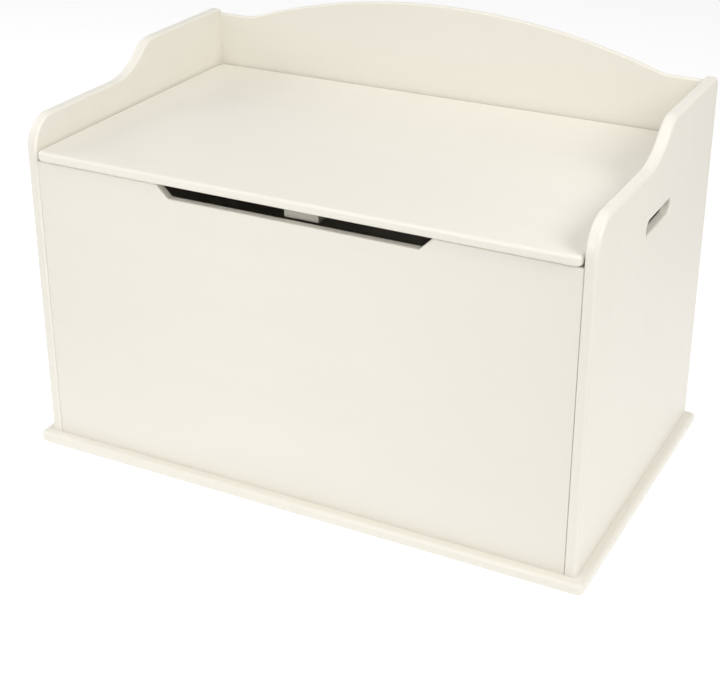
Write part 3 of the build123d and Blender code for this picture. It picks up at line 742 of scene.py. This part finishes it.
die_cast, tree, shader, place = start_material("die-cast zinc")
skin = mottle(tree, place, 1800, 3)
casting = blended(tree, eased(tree, skin, 0.35, 0.7, 0, 1), DIE_CAST, tuple(c * 0.85 for c in DIE_CAST))
coated(tree, shader, casting, eased(tree, skin, 0.3, 0.7, 0.38, 0.55), bumped(tree, skin, 0.3, 0.0001))
shader.inputs["Metallic"].default_value = 1.0

dowel_tree, given, leave = start_nodes("fluted dowel", ("Width", "Length", "Chamfer"))
dowel_r = scaled(dowel_tree, given["Width"], 0.5)
chamfer_r = sum_of(dowel_tree, dowel_r, given["Chamfer"], "SUBTRACT")
far_chamfer = sum_of(dowel_tree, given["Length"], given["Chamfer"], "SUBTRACT")
peg = turned_on_lathe(dowel_tree, [(0.0, chamfer_r), (given["Chamfer"], dowel_r),
                                   (far_chamfer, dowel_r), (given["Length"], chamfer_r)], DOWEL_SIDES)
where = fitted(dowel_tree, "GeometryNodeInputPosition", {})
parts = fitted(dowel_tree, "ShaderNodeSeparateXYZ", {0: where.outputs[0]})
bearing = sum_of(dowel_tree, parts.outputs["Y"], parts.outputs["X"], "ARCTAN2")
wave = fitted(dowel_tree, "ShaderNodeMath", {0: scaled(dowel_tree, bearing, float(DOWEL_FLUTES))},
              operation="COSINE").outputs[0]
groove = fitted(dowel_tree, "ShaderNodeMapRange", {"Value": wave, "From Min": 0.0, "From Max": 1.0,
                "To Min": 1.0, "To Max": 1 - FLUTE_DEPTH / DOWEL_R}).outputs["Result"]
squeeze = fitted(dowel_tree, "ShaderNodeCombineXYZ", {"X": groove, "Y": groove, "Z": 1.0})
fluted = fitted(dowel_tree, "ShaderNodeVectorMath", {0: where.outputs[0], 1: squeeze.outputs[0]},
                operation="MULTIPLY")
peg = fitted(dowel_tree, "GeometryNodeSetPosition", {"Geometry": peg, "Position": fluted.outputs[0]})
set_at_points(dowel_tree, given, leave, peg.outputs["Geometry"], beech)
dowels_low, dowels_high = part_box("dowels")
dowel_zs = [dowels_low.z + DOWEL_R, (dowels_low.z + dowels_high.z) / 2, dowels_high.z - DOWEL_R]
dowels = made_by_nodes("dowel_set", mirrored(dowels_high.x, front_mid_y, dowel_zs, (-1, 0, 0)),
                       dowel_tree, {"Width": 2 * DOWEL_R, "Length": 0.030, "Chamfer": 0.001})
fixed(dowels, ["dowels"], "case")

bolt_tree, given, leave = start_nodes("cam bolt", (*BOLT, "Length"))
head_r = scaled(bolt_tree, given["Head width"], 0.5)
neck_r = scaled(bolt_tree, given["Neck width"], 0.5)
shank_r = scaled(bolt_tree, given["Shank width"], 0.5)
head_h = given["Head height"]
rim = scaled(bolt_tree, head_h, 0.25)
top = sum_of(bolt_tree, head_h, rim, "SUBTRACT")
neck_end = scaled(bolt_tree, head_h, NECK_END)
bolt = turned_on_lathe(bolt_tree, [
    (0.0, scaled(bolt_tree, head_r, 0.75)), (rim, head_r), (top, head_r), (head_h, neck_r),
    (neck_end, neck_r), (sum_of(bolt_tree, neck_end, rim), shank_r),
    (sum_of(bolt_tree, given["Length"], rim, "SUBTRACT"), shank_r),
    (given["Length"], scaled(bolt_tree, shank_r, 0.6))], SCREW_SIDES)
set_at_points(bolt_tree, given, leave, bolt, screw_steel)
bolts_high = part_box("cam_bolts")[1]
locks_low, locks_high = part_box("cam_locks")
cam_x = locks_high.x - CAM_R
cam_zs = (locks_low.z + CAM_R, locks_high.z - CAM_R)
bolt_start = cam_x - BOLT_SETBACK
bolts = made_by_nodes("cam_bolt_set", mirrored(bolt_start, front_mid_y, cam_zs, (1, 0, 0)), bolt_tree,
                      {**BOLT, "Length": bolts_high.x - bolt_start})
fixed(bolts, ["cam_bolts"], "case")

cam_tree, given, leave = start_nodes("cam lock", ("Width", "Depth", "Bolt room"))
cam_r = scaled(cam_tree, given["Width"], 0.5)
lip_r = scaled(cam_tree, given["Width"], 0.47)
low_rim = scaled(cam_tree, given["Depth"], 0.96)
barrel = turned_on_lathe(cam_tree, [(0.0, lip_r), (CAM_EASING, cam_r), (low_rim, cam_r),
                                    (given["Depth"], lip_r)], CAM_SIDES)
slot_wide = scaled(cam_tree, given["Width"], CAM_CROSS_WIDE)
slot_long = scaled(cam_tree, given["Width"], CAM_CROSS_LONG)
sunk = cut_cross(cam_tree, barrel, slot_long, slot_wide, CAM_CROSS_DEEP)
sunk = cut_box(cam_tree, sunk, (scaled(cam_tree, given["Width"], 2.0), given["Bolt room"],
                                given["Bolt room"]), scaled(cam_tree, given["Depth"], ROOM_CENTRE))
set_at_points(cam_tree, given, leave, sunk, die_cast)
cams = made_by_nodes("cam_lock_set", mirrored(cam_x, locks_high.y, cam_zs, FORWARD), cam_tree,
                     {"Width": 2 * CAM_R, "Depth": locks_high.y - locks_low.y, "Bolt room": BOLT_ROOM})
fixed(cams, ["cam_locks"], "case")

# ----------------------------------------
# Lid pivots. A steel pin pressed into each end of the lid turns in a flanged nylon bushing let
# into the side panel; the flange keeps the lid's end off the paint.
# ----------------------------------------

NYLON = (0.80, 0.78, 0.71)
PIN = {"Width": 0.006, "Length": 0.042, "Chamfer": 0.0005}
PIN_SIDES = 40

nylon, tree, shader, place = start_material("natural nylon")
haze = mottle(tree, place, 250, 3)
coated(tree, shader, blended(tree, haze, NYLON, tuple(c * 0.9 for c in NYLON)),
       eased(tree, haze, 0.3, 0.7, 0.38, 0.5), bumped(tree, haze, 0.1, 0.0001))
shader.inputs["Subsurface Weight"].default_value = 0.15
shader.inputs["Subsurface Radius"].default_value = (0.001, 0.0009, 0.0007)

pin_tree, given, leave = start_nodes("turned pin", PIN)
pin_r = scaled(pin_tree, given["Width"], 0.5)
pin_lip = sum_of(pin_tree, pin_r, given["Chamfer"], "SUBTRACT")
pin_end = sum_of(pin_tree, given["Length"], given["Chamfer"], "SUBTRACT")
pin = turned_on_lathe(pin_tree, [(0.0, pin_lip), (given["Chamfer"], pin_r), (pin_end, pin_r),
                                 (given["Length"], pin_lip)], PIN_SIDES)
set_at_points(pin_tree, given, leave, pin, screw_steel)
pins_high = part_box("lid_pivot_pins")[1]
pins = made_by_nodes("pivot_pin_set", mirrored(pins_high.x, pivot_y, [pivot_z], (-1, 0, 0)), pin_tree, PIN)
fixed(pins, ["lid_pivot_pins"], "lid")
frame["nodes"]["pivot_bushings"].material_slots[0].material = nylon

# ----------------------------------------
# Bumpers. Two dark rubber buttons stuck under the lid stop it knocking on the front panel.
# ----------------------------------------

RUBBER = (0.035, 0.034, 0.032)
RUBBER_WORN = (0.055, 0.053, 0.05)
BUMPER_R = 0.0045
BUMPER_SIDES = 40

bumper_rubber, tree, shader, place = start_material("dark rubber")
grip = mottle(tree, place, 1500, 2)
coated(tree, shader, blended(tree, grip, RUBBER, RUBBER_WORN), eased(tree, grip, 0.3, 0.7, 0.65, 0.8),
       bumped(tree, grip, 0.4, 0.0001))
button_tree, given, leave = start_nodes("bumper button", ("Width", "Height"))
button_r = scaled(button_tree, given["Width"], 0.5)
button = turned_on_lathe(button_tree, [
    (0.0, button_r), (scaled(button_tree, given["Height"], 0.5), button_r),
    (scaled(button_tree, given["Height"], 0.85), scaled(button_tree, button_r, 0.93)),
    (given["Height"], scaled(button_tree, button_r, 0.8))], BUMPER_SIDES)
set_at_points(button_tree, given, leave, button, bumper_rubber)
bumpers_low, bumpers_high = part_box("lid_bumpers")
bumper_spots = mirrored(bumpers_high.x - BUMPER_R, front_mid_y, [bumpers_high.z], (0, 0, -1))
bumpers = made_by_nodes("bumper_set", bumper_spots, button_tree,
                        {"Width": 2 * BUMPER_R, "Height": bumpers_high.z - bumpers_low.z})
fixed(bumpers, ["lid_bumpers"], "lid")

# ----------------------------------------
# Lid stays. At each side two pressed steel arms, riveted at a knee, run from a plate on the side
# panel to an angle bracket under the lid. Nylon washers squeezed by the rivets give the friction
# that holds the lid wherever it is left.
# ----------------------------------------

ARM_R = 0.008
ARM_EDGE_R = 0.0003
RIVET_R = 0.0025
PLATE_CORNER_R = 0.006
RIVET_HEAD = {"Head width": 0.010, "Head height": 0.0018, "Shank width": 2 * RIVET_R}
RIVET_DOME = ((1.0, 0.25), (0.95, 0.5), (0.8, 0.74), (0.5, 0.93), (0.2, 1.0))
RIVET_STEP = 0.00001
RIVET_SIDES = 36
WASHER_SIDES = 48
WIDE_TAIL = 0.008
FLUSH_TAIL = 0.0004
LID_TAIL = 0.0015
BORE_PLAY = 0.00005
SCREW_HOLE_R = 0.0036
HOLE_EASING = 0.0001

arm_steel = plated_steel("zinc plated arms", (1500, 120, 120))
rivet_tree, given, leave = start_nodes("rivet", ("Head width", "Head height", "Shank width", "Shank length",
                                                 "Tail width", "Tail height"))
head_r = scaled(rivet_tree, given["Head width"], 0.5)
shank_r = scaled(rivet_tree, given["Shank width"], 0.5)
tail_r = scaled(rivet_tree, given["Tail width"], 0.5)
head_h, tail_h = given["Head height"], given["Tail height"]
shank_end = given["Shank length"]
dome = [(scaled(rivet_tree, head_h, -rise), scaled(rivet_tree, head_r, share))
        for rise, share in RIVET_DOME]
rivet = turned_on_lathe(rivet_tree, dome + [
    (-RIVET_STEP, head_r), (0.0, shank_r), (shank_end, shank_r),
    (sum_of(rivet_tree, shank_end, RIVET_STEP), tail_r),
    (sum_of(rivet_tree, shank_end, scaled(rivet_tree, tail_h, 0.6)), tail_r),
    (sum_of(rivet_tree, shank_end, tail_h), scaled(rivet_tree, tail_r, 0.75))], RIVET_SIDES)
set_at_points(rivet_tree, given, leave, rivet, screw_steel)

washer_tree, given, leave = start_nodes("flat washer", ("Outer width", "Bore", "Thickness"))
outer, bore = given["Outer width"], given["Bore"]
middle = scaled(washer_tree, sum_of(washer_tree, outer, bore), 0.25)
band = scaled(washer_tree, sum_of(washer_tree, outer, bore, "SUBTRACT"), 0.5)
circle = fitted(washer_tree, "GeometryNodeCurvePrimitiveCircle", {
    "Resolution": WASHER_SIDES, "Radius": middle})
strip = fitted(washer_tree, "GeometryNodeCurvePrimitiveQuadrilateral", {
    "Width": band, "Height": given["Thickness"]})
disc = fitted(washer_tree, "GeometryNodeCurveToMesh", {"Curve": circle.outputs["Curve"],
              "Profile Curve": strip.outputs["Curve"]})
set_at_points(washer_tree, given, leave, disc.outputs["Mesh"], nylon)

joint_at = {joint["name"]: Vector(joint["pos_m"]) for joint in frame["joints"]}
case_pivot = joint_at["right_case_rivet_joint"]
lid_pivot = joint_at["right_lid_rivet_joint"]
knee_low, knee_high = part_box("right_stay_knee_washer")
knee_pivot = (knee_low + knee_high) / 2
case_rivets_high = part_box("stay_case_rivets")[1]
lower_low, lower_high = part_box("right_stay_lower_arm")
upper_low, upper_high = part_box("right_stay_upper_arm")
plate_low, plate_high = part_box("right_stay_case_bracket")
web_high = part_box("right_stay_lid_bracket")[1]
knee_rivet_low, knee_rivet_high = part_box("right_stay_knee_rivet")
case_washer_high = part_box("stay_case_washers")[1]
lid_washer_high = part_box("stay_lid_washers")[1]
WASHER_T = knee_high.x - knee_low.x
WASHER = {"Outer width": 0.013, "Bore": 0.0052, "Thickness": WASHER_T}
RIVET_PLAY = knee_low.x - upper_high.x


def arm_outline(start, end):
    """A flat arm with round ends about two pivots, in (y, z)."""
    run = end - start
    angle = math.atan2(run.z, run.y)
    length = math.hypot(run.y, run.z)
    return walk_outline(start.y - ARM_R * math.sin(angle), start.z + ARM_R * math.cos(angle),
                        math.degrees(angle), [length, (ARM_R, -180)] * 2)[:-1]


plate_run = plate_high.y - plate_low.y - 2 * PLATE_CORNER_R
plate_rise = plate_high.z - plate_low.z - 2 * PLATE_CORNER_R
plate_walk = walk_outline(plate_low.y + PLATE_CORNER_R, plate_high.z, 0, [
    plate_run, (PLATE_CORNER_R, -90), plate_rise, (PLATE_CORNER_R, -90)] * 2)[:-1]
plate_holes = [round_hole(case_screw_y, z, SCREW_HOLE_R) for z in case_screw_zs]
flat_parts = [
    ("stay_case_plate", "stay_case_bracket", plate_low, plate_high, plate_walk, plate_holes, "case")]
for name, low, high, start, end in (("lower", lower_low, lower_high, case_pivot, knee_pivot),
                                    ("upper", upper_low, upper_high, knee_pivot, lid_pivot)):
    bores = [round_hole(p.y, p.z, RIVET_R + BORE_PLAY) for p in (start, end)]
    flat_parts.append((f"stay_{name}_strap", f"stay_{name}_arm", low, high, arm_outline(start, end), bores,
                       f"{{side}}_{name}_arm"))
for side, sign in (("right", 1), ("left", -1)):
    for name, node, low, high, walk, holes, body in flat_parts:
        strap = cut_board(f"{side}_{name}", lambda a, b, c, s=sign, x=low.x: (s * (x + c), a, b), walk, None,
                          high.x - low.x, ARM_EDGE_R, holes, HOLE_EASING,
                          steps=3)
        strap.data.materials.append(arm_steel)
        fixed(strap, [f"{side}_{node}"], body.format(side=side))
    knee_head = knee_rivet_low.x + RIVET_HEAD["Head height"]
    knee_rivet = made_by_nodes(f"{side}_knee_rivet_turned", [
        ((sign * knee_head, knee_pivot.y, knee_pivot.z), (sign, 0, 0))], rivet_tree,
        {**RIVET_HEAD, "Shank length": lower_high.x - knee_rivet_low.x - RIVET_HEAD["Head height"],
         "Tail width": WIDE_TAIL, "Tail height": knee_rivet_high.x - lower_high.x})
    fixed(knee_rivet, [f"{side}_stay_knee_rivet"], f"{side}_lower_arm")
    knee_washer = made_by_nodes(f"{side}_knee_washer_cut", [
        ((sign * knee_pivot.x, knee_pivot.y, knee_pivot.z), (sign, 0, 0))], washer_tree, WASHER)
    fixed(knee_washer, [f"{side}_stay_knee_washer"], f"{side}_lower_arm")
    frame["nodes"][f"{side}_stay_lid_bracket"].material_slots[0].material = arm_steel

case_head_x = lower_low.x - RIVET_PLAY
lid_head_x = upper_high.x + RIVET_PLAY
web_low_x = web_high.x - (plate_high.x - plate_low.x)
pivot_jobs = (
    ("case", case_pivot, case_head_x, 1, case_washer_high,
     {"Shank length": case_rivets_high.x - case_head_x - FLUSH_TAIL, "Tail width": 2 * RIVET_R,
      "Tail height": FLUSH_TAIL}),
    ("lid", lid_pivot, lid_head_x, -1, lid_washer_high,
     {"Shank length": lid_head_x - web_low_x, "Tail width": WIDE_TAIL, "Tail height": LID_TAIL}),
)
for name, pivot, head_x, outward, washer_high, sizes in pivot_jobs:
    rivets = made_by_nodes(f"{name}_rivet_set", mirrored(head_x, pivot.y, [pivot.z], (outward, 0, 0)),
                           rivet_tree, {**RIVET_HEAD, **sizes})
    fixed(rivets, [f"stay_{name}_rivets"], name)
    washer_x = washer_high.x - WASHER_T / 2
    washers = made_by_nodes(f"{name}_washer_set", mirrored(washer_x, pivot.y, [pivot.z], (1, 0, 0)),
                            washer_tree, WASHER)
    fixed(washers, [f"stay_{name}_washers"], name)

# ----------------------------------------
# Room. A pale floor that gives off some light of its own: more in a patch laid out from the
# camera's frame, less beyond it. A white world and five lamps, the strongest to left and right,
# two of them slightly warm.
# ----------------------------------------

FLOOR_HALF = 12.0
FLOOR_GREY = 0.52
DIM_GLOW, LIT_GLOW = 0.26, 0.60
WORLD_GLOW = 0.51
LIT_PATCH = ((-0.17, -0.83), (0.72, -0.37), (-0.90, 5.60), (-5.00, 5.20))
DIM_BEYOND = ((-0.25, -1.35), (1.20, -0.60), (-0.40, 6.20), (-5.80, 5.60))
floor_edge = ((-FLOOR_HALF, -FLOOR_HALF), (FLOOR_HALF, -FLOOR_HALF), (FLOOR_HALF, FLOOR_HALF),
              (-FLOOR_HALF, FLOOR_HALF))
floor_mesh = bpy.data.meshes.new("floor")
floor_mesh.from_pydata([(x, y, 0) for ring in (LIT_PATCH, DIM_BEYOND, floor_edge) for x, y in ring], [],
                       [(0, 1, 2, 3)] + [(i, i + 4, (i + 1) % 4 + 4, (i + 1) % 4) for i in range(4)]
                       + [(i + 4, i + 8, (i + 1) % 4 + 8, (i + 1) % 4 + 4) for i in range(4)])
floor_mesh.attributes.new("lit", "FLOAT", "POINT").data.foreach_set("value", [1.0] * 4 + [0.0] * 8)
floor = bpy.data.objects.new("floor", floor_mesh)
bpy.context.scene.collection.objects.link(floor)
floor_material, tree, shader, place = start_material("pale floor")
lit = tree.nodes.new("ShaderNodeAttribute")
lit.attribute_name = "lit"
tree.links.new(eased(tree, lit.outputs["Fac"], 0, 1, DIM_GLOW, LIT_GLOW), shader.inputs["Emission Strength"])
shader.inputs["Base Color"].default_value = (FLOOR_GREY, FLOOR_GREY, FLOOR_GREY, 1)
shader.inputs["Emission Color"].default_value = (1, 1, 1, 1)
shader.inputs["Roughness"].default_value = 0.9
shader.inputs["Specular IOR Level"].default_value = 0.1
floor_mesh.materials.append(floor_material)

world = bpy.data.worlds.new("studio")
world.use_nodes = True
world.node_tree.nodes["Background"].inputs["Color"].default_value = (1, 1, 1, 1)
world.node_tree.nodes["Background"].inputs["Strength"].default_value = WORLD_GLOW
bpy.context.scene.world = world
bpy.context.scene.view_settings.view_transform = "Standard"

WARM_WHITE = (1.0, 0.972, 0.940)
SOFT_WHITE = (1.0, 0.985, 0.965)
PURE_WHITE = (1.0, 1.0, 1.0)


def softbox(name, place, aim, size, power, colour):
    """A rectangular studio lamp at `place`, turned to face `aim`."""
    light = bpy.data.lights.new(name, "AREA")
    light.shape = "RECTANGLE"
    light.size, light.size_y = size
    light.energy = power
    light.color = colour
    lamp = bpy.data.objects.new(name, light)
    lamp.location = place
    lamp.rotation_euler = (Vector(aim) - Vector(place)).to_track_quat("-Z", "Y").to_euler()
    bpy.context.scene.collection.objects.link(lamp)


softbox("front softbox", (-0.3, -1.6, 0.95), (0, 0.2, 0.6), (0.7, 0.7), 7.5, SOFT_WHITE)
softbox("left softbox", (-2.8, -0.2, 1.6), (0, 0, 0.3), (1.2, 1.2), 24, PURE_WHITE)
softbox("right softbox", (2.2, -0.6, 2.1), (0.2, 0, 0.5), (1.2, 1.2), 34, WARM_WHITE)
softbox("overhead softbox", (0, -0.3, 2.6), (0, 0, 0.3), (1.6, 1.6), 8, PURE_WHITE)
softbox("rear softbox", (0, 2.2, 2.2), (0, 0, 0.3), (1.6, 1.2), 3, PURE_WHITE)

camera_data = bpy.data.cameras.new("camera")
camera_data.lens = 76.67
camera_data.sensor_width = 36.0
camera_data.shift_y = -0.0778
camera = bpy.data.objects.new("camera", camera_data)
camera.location = (0.9753, -1.9282, 1.2573)
camera.rotation_euler = (math.radians(90 - 24.71), 0, math.radians(27.29))
bpy.context.scene.collection.objects.link(camera)
bpy.context.scene.camera = camera
